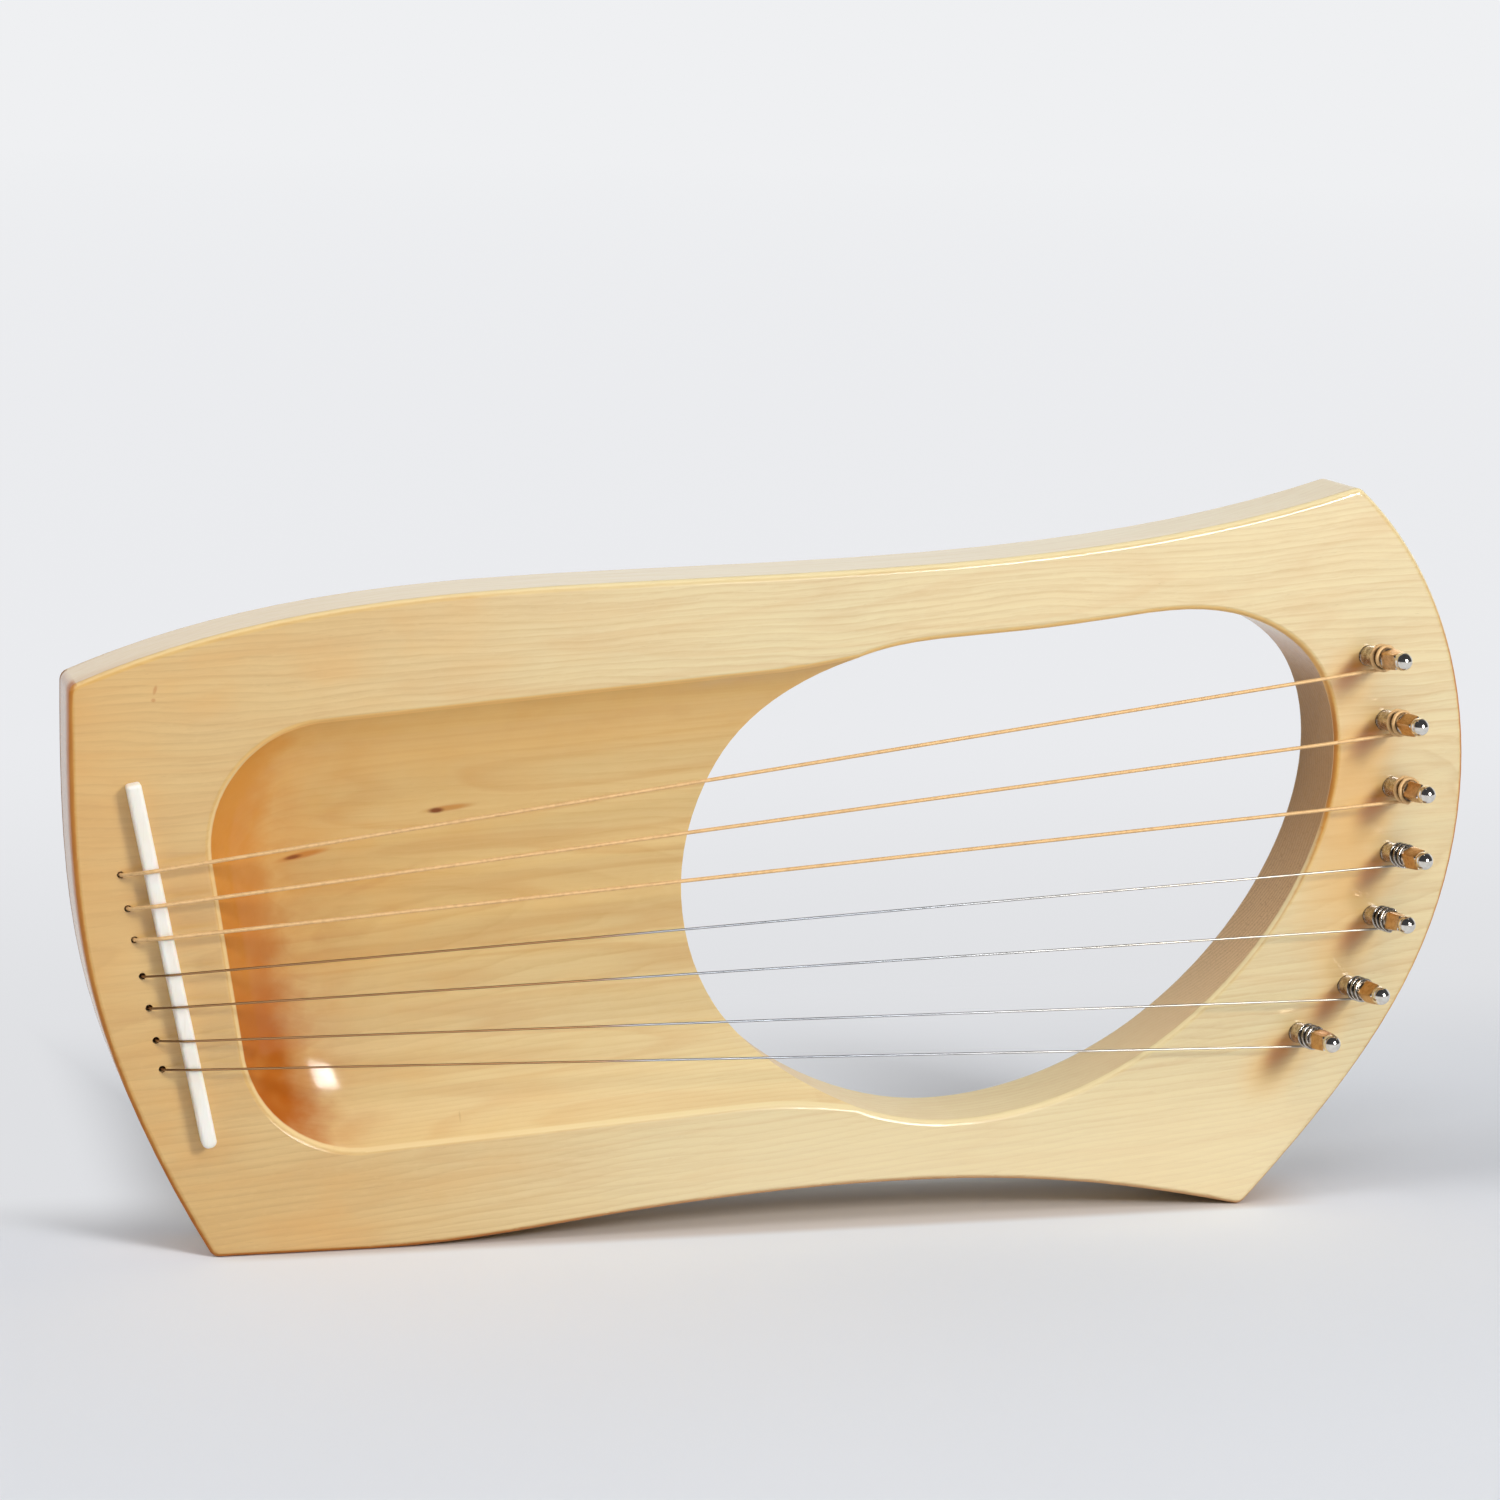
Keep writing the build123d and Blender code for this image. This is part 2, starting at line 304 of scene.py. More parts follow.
# painted shadow of each pin, down and to the left of it: as a mark, placed
# from the pin's foot, and last the share of the ellipse at full strength
PAINTED_PIN_SHADOWS = [
    (-6.5, -8.0, 17.0, 11.0, 50, 0.65, WOOD_HALO, 0.0),
    (-5.0, -4.8, 10.0, 4.8, 46, 0.88, WOOD_PIN_SHADOW, 0.1),
]


class Wood(Surface):
    """Lacquered maple. Each lay method puts one more layer on the colour."""

    def __init__(self):
        super().__init__("lacquered_maple")
        self.spot = self.place_mm()
        self.x, y, self.z = self.split(self.spot)
        self.depth = self.math("SUBTRACT", y, FRONT_Y / MM)
        normal = self.node("ShaderNodeTexCoord").outputs["Normal"]
        self.right, back, self.up = self.split(normal)
        self.front = self.math("MULTIPLY", back, -1.0)
        self.sideways = self.math("ABSOLUTE", self.right)
        self.find_grain()

    def tint(self, share, colour):
        self.colour = self.mix(share, self.colour, colour)

    def patch(self, cx, cz, long, wide, tilt, solid=0.3):
        """1 inside a soft ellipse on the face, 0 outside it."""
        c, s = math.cos(math.radians(tilt)), math.sin(math.radians(tilt))
        dx = self.math("SUBTRACT", self.x, cx)
        dz = self.math("SUBTRACT", self.z, cz)
        a = self.math("ADD", self.times(dx, c / long), self.times(dz, s / long))
        b = self.math("SUBTRACT", self.times(dz, c / wide), self.times(dx, s / wide))
        away = self.vector("LENGTH", self.join(a, b, 0.0))
        return self.ramp(away, solid, 1.0, 1.0, 0.0)

    def find_grain(self):
        """The grain's direction and wander, and the rings and fibres in it."""
        turn = self.node("ShaderNodeVectorRotate", rotation_type="Y_AXIS")
        self.put(turn.inputs["Vector"], self.spot)
        turn.inputs["Angle"].default_value = GRAIN_RISE
        self.turned = turn.outputs[0]
        self.along, deep, across = self.split(self.turned)
        self.slow = self.math("SUBTRACT", self.stretched(self.turned, SLOW_WANDER, 2), 0.5)
        quick = self.math("SUBTRACT", self.stretched(self.turned, QUICK_WANDER, 2), 0.5)
        wander = self.math("MULTIPLY_ADD", self.slow, 9.0, self.times(quick, 1.1))
        self.late = self.late_wood(deep, across, wander)
        bent = self.join(self.along, self.math("ADD", deep, wander), self.math("ADD", across, wander))
        self.fibre = self.stretched(bent, FIBRES, 4, 0.62)
        self.thread = self.stretched(bent, THREADS, 2)
        self.cloud = self.stretched(bent, CLOUDS, 3)
        self.pore = self.ramp(self.stretched(bent, PORES, 1), 0.72, 0.82)
        self.fleck = self.stretched(self.turned, FLECKS, 2)

    def late_wood(self, deep, across, wander):
        """The dark side of each ring, about a trunk's middle behind the plank."""
        trunk = self.math("MULTIPLY_ADD", self.along, TRUNK_LEAN, TRUNK_BEHIND)
        ring_y = self.math("SUBTRACT", deep, trunk)
        ring_z = self.math("SUBTRACT", across, TRUNK_HEIGHT)
        radius = self.vector("LENGTH", self.join(0.0, ring_y, ring_z))
        radius = self.math("ADD", radius, wander)
        ring = self.math("FRACT", self.times(radius, 1 / RING_WIDTH))
        return self.times(self.math("POWER", ring, 3.0), self.ramp(ring, 0.88, 1.0, 1.0, 0.0))

    def figure(self):
        """Broad strokes of cathedral figure."""
        drift = self.stretched(self.turned, FIGURE, 2, 0.40)
        stroke = self.math("MULTIPLY_ADD", drift, 11.0, self.times(self.fibre, 0.3))
        stroke = self.math("FRACT", stroke)
        return self.times(self.ramp(stroke, 0.45, 0.86), self.ramp(stroke, 0.86, 1.0, 1.0, 0.0))

    def lay_grain(self):
        """Paler toward the pins than toward the bridge, with the grain on it."""
        place = self.math("MULTIPLY_ADD", self.slow, 90.0, self.along)
        pinward = self.ramp(place, -175.0, 5.0)
        self.ground = self.mix(pinward, WOOD_HONEY, WOOD_PALE)
        clouded = self.mix(pinward, WOOD_AMBER, WOOD_CREAM)
        self.colour = self.mix(self.ramp(self.cloud, 0.3, 0.7, 0.0, 0.85), self.ground, clouded)
        self.tint(self.times(self.late, self.ramp(self.cloud, 0.25, 0.7, 0.42, 0.26)), WOOD_LINE)
        self.tint(self.ramp(self.fibre, 0.40, 0.72, 0.0, 0.20), WOOD_LINE)
        self.tint(self.ramp(self.thread, 0.5, 0.8, 0.0, 0.15), WOOD_LINE)
        self.tint(self.ramp(self.fleck, 0.52, 0.75, 0.0, 0.30), self.ground)
        self.tint(self.times(self.pore, 0.22), WOOD_PORE_AND_SHADE)

    def lay_hollow(self):
        """The hollow is warmer than the face, with a stronger figure. Painted light
        makes it paler low down, and a painted glow lies under its upper lip."""
        self.hollow = self.times(self.ramp(self.depth, 0.5, 1.6), self.ramp(self.front, 0.25, 0.42))
        # warm bowl colour, less of it low down, where painted light makes the hollow paler
        self.tint(self.times(self.hollow, self.ramp(self.z, 25.0, 100.0, 0.10, 0.45)), WOOD_BOWL)
        strength = self.ramp(self.hollow, 0.0, 1.0, 0.12, 0.24, smooth=False)
        self.tint(self.times(self.figure(), strength), WOOD_FIGURE)
        # painted light: paler low in the hollow
        self.tint(self.times(self.hollow, self.ramp(self.z, 85.0, 40.0, 0.0, 0.24)), WOOD_PAINTED_LIGHT)
        # painted glow on wood that looks down, under the upper lip
        self.tint(self.times(self.ramp(self.up, -0.05, -0.45, 0.0, 0.55), self.hollow), WOOD_PAINTED_GLOW)

    def lay_stain(self):
        """End grain at the hollow's bridge end takes up lacquer and is orange."""
        uneven = self.math("SUBTRACT", self.stretched(self.spot, STAINS, 3), 0.5)
        near = self.math("MULTIPLY_ADD", uneven, 34.0, self.x)
        near = self.ramp(near, -156.0, -104.0, 0.62, 0.0)
        steep = self.ramp(self.math("MULTIPLY_ADD", uneven, 0.3, self.right), 0.0, 0.55)
        low = self.ramp(self.z, 30.0, 135.0, 1.0, 0.0)
        share = self.times(self.larger(near, steep), self.hollow)
        share = self.times(share, self.ramp(low, 0.0, 1.0, 0.82, 1.0))
        self.tint(share, self.mix(low, WOOD_END, WOOD_DEEP))

    def lay_walls(self):
        """The sawn walls are darkest on end grain, with painted shade there too,
        and painted light makes them pale where they look up and low down.
        """
        wall = self.ramp(self.math("ABSOLUTE", self.front), 0.12, 0.30, 1.0, 0.0)
        speckle = self.ramp(self.noise(self.spot, scale=1.9, detail=2), 0.52, 0.74, 0.0, 0.8)
        grain = self.larger(self.times(self.late, 0.75), speckle)
        # darker where the wall faces sideways: end grain, with painted shade
        sawn = self.mix(self.ramp(self.sideways, 0.72, 0.97), WOOD_SHOULDER, WOOD_WALL)
        # painted light: paler low down
        sawn = self.mix(self.ramp(self.z, 118.0, 60.0, 0.0, 0.85), sawn, WOOD_WALL_PAINTED_LIGHT)
        sawn = self.mix(self.times(grain, self.ramp(self.sideways, 0.5, 0.9)), sawn, WOOD_SAWN)
        self.tint(self.times(wall, self.ramp(self.sideways, 0.20, 0.70, 0.0, 0.86)), sawn)
        # painted light where the wall looks up
        self.tint(self.times(wall, self.ramp(self.up, 0.55, 0.95, 0.0, 0.45)), WOOD_PAINTED_LIGHT)
        self.matt = self.times(wall, 0.85, self.patch(*OPENING, solid=0.93))

    def lay_edges(self):
        """Rounded front edges: a painted highlight where they look up, brown painted
        shade where they look down low and where they face sideways (end grain
        too), and a painted glow where they look down higher up. The hollow's lip
        has a painted highlight where the outline's edge is dark."""
        round_part = self.times(self.ramp(self.front, 0.10, 0.35),
                                self.ramp(self.depth, 1.2, 1.8, 1.0, 0.0))
        narrow = self.times(self.ramp(self.front, 0.72, 0.94, 1.0, 0.0), round_part)
        broad = self.times(self.ramp(self.front, 0.93, 0.995, 1.0, 0.0), round_part)
        lip = self.times(self.ramp(self.x, -161.0, -157.0), self.ramp(self.x, -10.0, -30.0),
                         self.ramp(self.z, 30.0, 36.0))
        below = self.times(self.ramp(self.up, -0.2, -0.5), self.ramp(self.z, 45.0, 30.0))
        dark = self.larger(below, self.ramp(self.sideways, 0.25, 0.65))
        dark = self.times(dark, self.math("SUBTRACT", 1.0, lip))
        pale = self.larger(self.ramp(self.up, 0.15, 0.40),
                           self.times(lip, self.ramp(self.right, 0.3, 0.7)))
        above = self.times(self.ramp(self.up, -0.1, -0.5, 0.0, 0.8), self.ramp(self.z, 45.0, 60.0))
        self.tint(self.times(broad, dark, 0.92), WOOD_BROWN_SHADE)
        self.tint(self.times(broad, above), WOOD_PAINTED_GLOW)
        self.tint(self.times(narrow, pale), self.ground)
        self.tint(self.times(narrow, pale, 0.35), WOOD_PAINTED_LIGHT)
        self.matt = self.larger(self.matt, self.times(broad, 0.8))

    def lay_left_end(self):
        """The left end wall has painted shade: brown toward its front edge, dark at its back."""
        leftward = self.times(self.ramp(self.right, -0.25, -0.6), self.ramp(self.x, -100.0, -120.0))
        ahead = self.times(leftward, self.ramp(self.depth, 3.0, 11.0, 0.85, 0.0))
        behind = self.times(leftward, self.ramp(self.depth, PLANK_THICK - 4.0, PLANK_THICK - 2.5))
        self.tint(ahead, WOOD_BROWN_SHADE)
        self.tint(self.times(behind, 0.85), WOOD_PORE_AND_SHADE)
        self.matt = self.larger(self.matt, behind, ahead)

    def lay_blotches(self):
        """Honey blotches toward the bridge end, warmer along the opening's far
        side, and painted light along the lower edge."""
        blotch = self.ramp(self.stretched(self.turned, BLOTCHES, 2), 0.42, 0.80)
        blotch = self.times(blotch, self.ramp(self.x, -150.0, -20.0, 0.36, 0.06))
        self.tint(self.times(blotch, self.front, clamp=True), WOOD_GOLD)
        rim = self.times(self.patch(*FAR_RIM, solid=0.2), self.front, clamp=True)
        self.tint(self.times(rim, 0.55), WOOD_HALO)
        border = self.ramp(self.x, -198.0, -160.0, 0.40, 0.0)
        self.tint(self.times(border, self.front, clamp=True), WOOD_GOLD)
        # painted light: paler along the lower edge, toward the pins
        pale = self.times(self.ramp(self.z, 60.0, 12.0, 0.0, 0.45), self.front, clamp=True)
        self.tint(self.times(pale, self.ramp(self.x, -110.0, 20.0)), WOOD_PAINTED_LIGHT)

    def lay_mark(self, x, z, long, wide, tilt, strength, colour, solid=0.3):
        """One soft ellipse of colour on whatever looks to the front."""
        spread = self.patch(x, z, long, wide, tilt, solid)
        self.tint(self.times(spread, self.ramp(self.front, 0.6, 0.9, 0.0, strength)), colour)

    def lay_marks(self):
        for mark in WOOD_MARKS:
            self.lay_mark(*mark)
        # painted shadows of the pins, placed from each pin's foot
        for joint in frame["joints"]:
            foot = Vector(joint["pos_m"]) / MM
            for dx, dz, *shade in PAINTED_PIN_SHADOWS:
                self.lay_mark(foot.x + dx, foot.z + dz, *shade)

    def varnish(self):
        """Clear lacquer, thin in the hollow and worn off the matt places."""
        height = self.math("ADD", self.times(self.fibre, 0.5), self.times(self.pore, -0.6))
        bare = self.larger(self.matt, self.hollow)
        self.set(
            Base_Color=self.colour,
            Roughness=self.ramp(self.fibre, 0.3, 0.7, 0.38, 0.48),
            Normal=self.bump(height, 0.00002, 0.25),
            Specular_IOR_Level=self.ramp(bare, 0.0, 1.0, 0.5, 0.0, smooth=False),
            Coat_Weight=self.ramp(self.matt, 0.0, 1.0, 0.75, 0.0, smooth=False),
            Coat_Roughness=0.13,
        )


def wood_material():
    wood = Wood()
    wood.lay_grain()
    wood.lay_hollow()
    wood.lay_stain()
    wood.lay_walls()
    wood.lay_edges()
    wood.lay_left_end()
    wood.lay_blotches()
    wood.lay_marks()
    wood.varnish()
    return wood.material


# --------------------------------------------------------- other materials
def bone_material():
    t = Surface("polished_bone")
    spot = t.place_mm()
    streak = t.stretched(spot, (3.0, 0.8, 0.12), 4)
    cloud = t.stretched(spot, (0.2, 0.2, 0.06), 2)
    colour = t.mix(t.ramp(cloud, 0.3, 0.7), linear(247, 244, 236), linear(242, 235, 220))
    colour = t.mix(t.ramp(streak, 0.55, 0.8, 0.0, 0.35), colour, linear(222, 210, 186))
    t.set(
        Base_Color=colour,
        Roughness=t.ramp(streak, 0.3, 0.7, 0.28, 0.42),
        Subsurface_Weight=0.15,
        Subsurface_Scale=0.001,
        Normal=t.bump(streak, 0.00002, 0.4),
    )
    return t.material


def metal_material(name, bright, dull, rough_low, rough_high, along="", pitch=0.0, metallic=1.0):
    """Plated or drawn metal with fine marks. Where along is set, the marks
    run round a wire, pitch millimetres apart, counted along the wire: "wire"
    reads the wire's own length and "x" the piece's x."""
    t = Surface(name)
    spot = t.place_mm()
    cloud = t.noise(spot, scale=0.9, detail=3)
    fine = t.noise(spot, scale=6.0, detail=3)
    colour = t.mix(t.ramp(cloud, 0.35, 0.75, 0.0, 0.8), bright, dull)
    height = fine
    depth = 0.000004
    if along:
        where = t.split(spot)[0]
        if along == "wire":
            where = t.node("ShaderNodeAttribute", attribute_name="along").outputs["Fac"]
        wave = t.math("SINE", t.times(where, 2 * math.pi / pitch))
        height = t.math("MULTIPLY_ADD", wave, 0.5, 0.5)
        colour = t.mix(t.ramp(height, 0.0, 0.45, 0.3, 0.0), colour, dull)
        depth = 0.000006
    t.set(
        Base_Color=colour,
        Metallic=metallic,
        Roughness=t.ramp(fine, 0.3, 0.7, rough_low, rough_high),
        Normal=t.bump(height, depth, 0.5),
    )
    return t.material


def string_steel():
    """Plain steel string with a painted reflection along it: brown toward the
    bridge, grey in the middle, paler toward the pins."""
    t = Surface("plain_string_steel")
    spot = t.place_mm()
    along = t.split(spot)[0]
    fine = t.stretched(spot, (0.05, 6.0, 6.0), 2)
    cloud = t.stretched(spot, (0.03, 0.3, 0.3), 1)
    place = t.math("MULTIPLY_ADD", cloud, 16.0, along)
    colour = t.mix(t.ramp(place, -50.0, -30.0), linear(150, 114, 76), linear(146, 150, 156))
    colour = t.mix(t.ramp(place, 20.0, 150.0), colour, linear(184, 176, 162))
    colour = t.mix(t.ramp(fine, 0.45, 0.8, 0.0, 0.3), colour, linear(112, 100, 88))
    t.set(
        Base_Color=colour,
        Metallic=0.9,
        Roughness=t.ramp(fine, 0.3, 0.7, 0.38, 0.48),
        Normal=t.bump(fine, 0.000001, 0.2),
    )
    return t.material


NICKEL = metal_material("nickel_plate", linear(236, 231, 223), linear(214, 207, 196), 0.07, 0.14)
SHANK = metal_material("pin_shank", linear(214, 206, 196), linear(126, 110, 94), 0.18, 0.32)
# brown: a painted reflection of the wood in the plated head
HEAD = metal_material("pin_head", linear(212, 172, 122), linear(184, 138, 90), 0.26, 0.40)
STEEL = metal_material("drawn_steel", linear(200, 196, 190), linear(158, 150, 142), 0.16, 0.28)
TAN = (linear(226, 188, 134), linear(206, 166, 114), 0.60, 0.72)
TURN_PITCH = 0.22              # mm from one turn of a winding to the next
WINDING = metal_material("bronze_winding", *TAN, along="wire", pitch=TURN_PITCH, metallic=0.3)
WINDING_X = metal_material("bronze_winding_straight", *TAN, along="x", pitch=TURN_PITCH, metallic=0.3)
BRASS = metal_material("turned_brass", linear(222, 190, 120), linear(186, 148, 84), 0.22, 0.34)
WOOD = wood_material()
BONE = bone_material()
STRING_STEEL = string_steel()


def wear(piece, material):
    piece.data.materials.clear()
    piece.data.materials.append(material)


# ------------------------------------------------------------ mesh helpers
def add_mesh(name, points, faces, material, body, replaced=()):
    mesh = bpy.data.meshes.new(name)
    mesh.from_pydata([tuple(p) for p in points], [], faces)
    mesh.validate()
    mesh.update()
    for face in mesh.polygons:
        face.use_smooth = True
    piece = bpy.data.objects.new(name, mesh)
    bpy.context.scene.collection.objects.link(piece)
    mesh.materials.append(material)
    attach(piece, body)
    if replaced:
        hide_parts(*replaced)
    return piece


def around(side, other, sides):
    """The angle and the direction of each step round a circle."""
    for j in range(sides):
        turn = 2 * math.pi * j / sides
        yield turn, side * math.cos(turn) + other * math.sin(turn)


def skin(rings, sides, flip=False):
    """Faces over rings of points, closed onto two end points that follow them."""
    faces = []
    for i in range(rings - 1):
        for j in range(sides):
            k = (j + 1) % sides
            faces.append((i * sides + j, i * sides + k, (i + 1) * sides + k, (i + 1) * sides + j))
    top = (rings - 1) * sides
    end = rings * sides
    for j in range(sides):
        k = (j + 1) % sides
        faces.append((end, k, j))
        faces.append((end + 1, top + j, top + k))
    if flip:
        faces = [(face[0], *reversed(face[1:])) for face in faces]
    return faces


def wire_frames(path):
    """Two directions across the path at each point, turned as little as possible."""
    found = []
    side = None
    for i in range(len(path)):
        ahead = path[min(i + 1, len(path) - 1)] - path[max(i - 1, 0)]
        ahead.normalize()
        if side is None:
            side = ahead.orthogonal()
        side = (side - ahead * side.dot(ahead)).normalized()
        found.append((side.copy(), ahead.cross(side)))
    return found


WIRE_CAPS = 3                  # steps over each rounded end


def wire_rings(path, radius):
    """(centre, directions, radius, length so far) of each ring of a wire, and
    the points at its two ends."""
    frames = wire_frames(path)
    lengths = [0.0]
    for first, second in zip(path, path[1:]):
        lengths.append(lengths[-1] + (second - first).length)
    rings = [(spot, ways, radius, length) for spot, ways, length in zip(path, frames, lengths)]
    start_dir = (path[0] - path[1]).normalized()
    end_dir = (path[-1] - path[-2]).normalized()
    for k in range(1, WIRE_CAPS):
        bend = math.pi / 2 * k / WIRE_CAPS
        out, small = radius * math.sin(bend), radius * math.cos(bend)
        rings.insert(0, (path[0] + start_dir * out, frames[0], small, 0.0))
        rings.append((path[-1] + end_dir * out, frames[-1], small, lengths[-1]))
    return rings, path[0] + start_dir * radius, path[-1] + end_dir * radius


def wire(name, path, radius, material, body, replaced=(), sides=14):
    """Round wire along a path, with rounded ends. Each of its points keeps
    its place along the wire, in millimetres."""
    rings, start, end = wire_rings(path, radius)
    points, marks = [], []
    for centre, (side, other), size, length in rings:
        for _, way in around(side, other, sides):
            points.append(centre + way * size)
            marks.append(length / MM)
    points += [start, end]
    marks += [0.0, rings[-1][3] / MM]
    piece = add_mesh(name, points, skin(len(rings), sides), material, body, replaced)
    attribute = piece.data.attributes.new("along", "FLOAT", "POINT")
    attribute.data.foreach_set("value", marks)


# -------------------------------------------------------------------- pins
PIN_RADIUS = 2.8 * MM
PIN_SUNK = 18.0 * MM
PIN_BEVEL = 0.6 * MM           # of the sunk end, and the thread's run-out
PIN_SIDES = 96
PIN_TURNED = [12, 38, 63, 25, 80, 47, 5]     # degrees, of the eye and the head
THREAD_PITCH = 0.7 * MM
THREAD_DEPTH = 0.13 * MM
THREAD_TOP = 0.9 * MM
THREAD_STEPS = 300
EYE_HEIGHT = 9.1 * MM
EYE_RADIUS = 0.66 * MM
EYE_DEPTH = 0.9 * MM
EYE_RIM = 0.35                 # share of the radius that slopes
SHANK_END = 9.8 * MM
HEAD_END = 15.3 * MM
HEAD_WIDE = 2.5 * MM           # half widths of the square
HEAD_NARROW = 2.05 * MM
HEAD_CORNER = 3.2 * MM
HEAD_STEPS = 6
TIP_CENTRE = 16.3 * MM
TIP_RADIUS = 2.498 * MM
TIP_STEPS = 16


def pin_axes(number):
    joint = frame["joints"][number - 1]
    foot = Vector(joint["pos_m"])
    axis = Vector(joint["axis"]).normalized()
    side = Vector((0, 0, 1))
    side = (side - axis * side.dot(axis)).normalized()
    return foot, axis, side, axis.cross(side)


def square_reach(turn, half):
    """Distance from the axis to a square's side, with rounded corners."""
    turn = (turn + math.pi / 4) % (math.pi / 2) - math.pi / 4
    flat = half / math.cos(turn)
    blend = 12.0
    return (flat ** -blend + HEAD_CORNER ** -blend) ** (-1 / blend)


def eye_hollow(z, turn):
    """Depth of the wire eye's mouths in the shank, at a height and angle."""
    off = abs(abs((turn + math.pi / 2) % math.pi - math.pi / 2) - math.pi / 2)
    away = math.hypot(off * PIN_RADIUS, z - EYE_HEIGHT) / EYE_RADIUS
    if away >= 1:
        return 0.0
    rim = min(1.0, (1 - away) / EYE_RIM)
    return EYE_DEPTH * rim * rim * (3 - 2 * rim)


def thread_rings():
    """The thread in the plank: (height, kind, radius or share of the depth)."""
    low = -PIN_SUNK + PIN_BEVEL
    rings = [(-PIN_SUNK, "round", PIN_RADIUS - PIN_BEVEL), (low, "thread", 1.0)]
    for i in range(1, THREAD_STEPS):
        z = low + (THREAD_TOP - low) * i / THREAD_STEPS
        rings.append((z, "thread", min(1.0, (THREAD_TOP - z) / PIN_BEVEL)))
    return rings


def shank_rings():
    """The plain shank, in close steps over the eye: (height, kind, radius)."""
    heights = [THREAD_TOP]
    heights += [z * MM for z in (1.4, 3, 5, 7, 8, 8.2)]
    heights += [(8.28 + 0.08 * i) * MM for i in range(18)]
    heights.append(SHANK_END - 0.12 * MM)
    rings = [(z, "round", PIN_RADIUS) for z in heights]
    rings.append((SHANK_END - 0.03 * MM, "round", PIN_RADIUS - 0.05 * MM))
    return rings


def head_rings():
    """The tapered square head: (height, kind, half width)."""
    rings = [(SHANK_END + 0.02 * MM, "square", HEAD_WIDE)]
    for i in range(1, HEAD_STEPS + 1):
        z = SHANK_END + (HEAD_END - SHANK_END - 0.3 * MM) * i / HEAD_STEPS
        half = HEAD_WIDE + (HEAD_NARROW - HEAD_WIDE) * i / HEAD_STEPS
        rings.append((z, "square", half))
    rings.append((HEAD_END - 0.15 * MM, "square", HEAD_NARROW - 0.08 * MM))
    return rings


def tip_rings():
    """The domed tip: (height, kind, radius)."""
    first = math.asin((HEAD_END - TIP_CENTRE) / TIP_RADIUS)
    rings = []
    for i in range(TIP_STEPS):
        a = first + (math.pi / 2 - first) * i / TIP_STEPS
        rings.append((TIP_CENTRE + TIP_RADIUS * math.sin(a), "round", TIP_RADIUS * math.cos(a)))
    return rings


def pin_reach(ring, turn, turned):
    """Distance from the pin's axis to its surface on a ring, at an angle."""
    z, kind, size = ring
    if kind == "square":
        return square_reach(turn - turned, size)
    if kind == "thread":
        wave = 0.5 + 0.5 * math.cos(2 * math.pi * z / THREAD_PITCH - turn)
        return PIN_RADIUS - THREAD_DEPTH * wave * size
    return size - eye_hollow(z, turn - turned)


def plate_pin(piece, rings):
    """Gives the square head and the domed tip a metal of their own. The
    head's brown is a painted reflection of the wood.
    """
    piece.data.materials.append(HEAD)
    piece.data.materials.append(NICKEL)
    heads = [i for i, ring in enumerate(rings) if ring[1] == "square"]
    for face in piece.data.polygons:
        ring = min(face.vertices) // PIN_SIDES
        if ring >= heads[-1]:
            face.material_index = 2
        elif ring >= heads[0]:
            face.material_index = 1


def tuning_pin(number):
    foot, axis, side, other = pin_axes(number)
    turned = math.radians(PIN_TURNED[number - 1])
    rings = thread_rings() + shank_rings() + head_rings() + tip_rings()
    points = []
    for ring in rings:
        for turn, way in around(side, other, PIN_SIDES):
            points.append(foot + axis * ring[0] + way * pin_reach(ring, turn, turned))
    points.append(foot - axis * PIN_SUNK)
    points.append(foot + axis * (TIP_CENTRE + TIP_RADIUS))
    piece = add_mesh(
        f"pin_metal_{number}", points, skin(len(rings), PIN_SIDES), SHANK,
        f"pin_{number}", [f"tuning_pin_{number}"],
    )
    plate_pin(piece, rings)


# ------------------------------------------------------- strings on the pins
WOUND_RADIUS = 0.5 * MM
PLAIN_RADIUS = 0.3 * MM
WOUND_TURNS = 1.9              # about, before the string enters the eye
PLAIN_TURNS = 2.9
COIL_GAP = 0.02 * MM           # between the pin and the coil
COIL_STEPS = 56                # in each turn
BEND_STEPS = 8
EYE_STEPS = 5
WRAP_FROM, WRAP_TO = -0.004, 0.135     # turns
WRAP_SHARE = 0.96              # of the coil's thickness


def string_radius(number):
    return WOUND_RADIUS if number <= WOUND else PLAIN_RADIUS


def string_look(number):
    """(material, slot) of a string on its pin."""
    if number <= WOUND:
        return WINDING, "wound_string"
    return STEEL, "plain_string"


def string_end(number):
    """Where the straight run of a string ends beside its pin."""
    spots = [v.co for v in frame["nodes"][f"string_{number}"].data.vertices]
    reach = max(p.x for p in spots)
    cap = [p for p in spots if p.x > reach - 1 * MM]
    return sum(cap, Vector()) / len(cap)


def coil_start(number):
    """The height up the pin where the string meets it, the direction from
    the axis to the string, and the direction in which the coil sets off."""
    foot, axis, side, other = pin_axes(number)
    end = string_end(number)
    start = (end - foot).dot(axis)
    out = (end - foot - axis * start).normalized()
    return start, out, axis.cross(out)


def coil_size(number):
    """(turns, rise) from the string's end to the nearer mouth of the eye."""
    foot, axis, side, other = pin_axes(number)
    start, out, ahead = coil_start(number)
    turned = math.radians(PIN_TURNED[number - 1])
    eye = side * -math.sin(turned) + other * math.cos(turned)
    wanted = WOUND_TURNS if number <= WOUND else PLAIN_TURNS
    found = []
    for way in (eye, -eye):
        share = math.atan2(way.dot(ahead), way.dot(out)) / (2 * math.pi)
        found.append(round(wanted - share) + share)
    return min(found, key=lambda turns: abs(turns - wanted)), EYE_HEIGHT - start


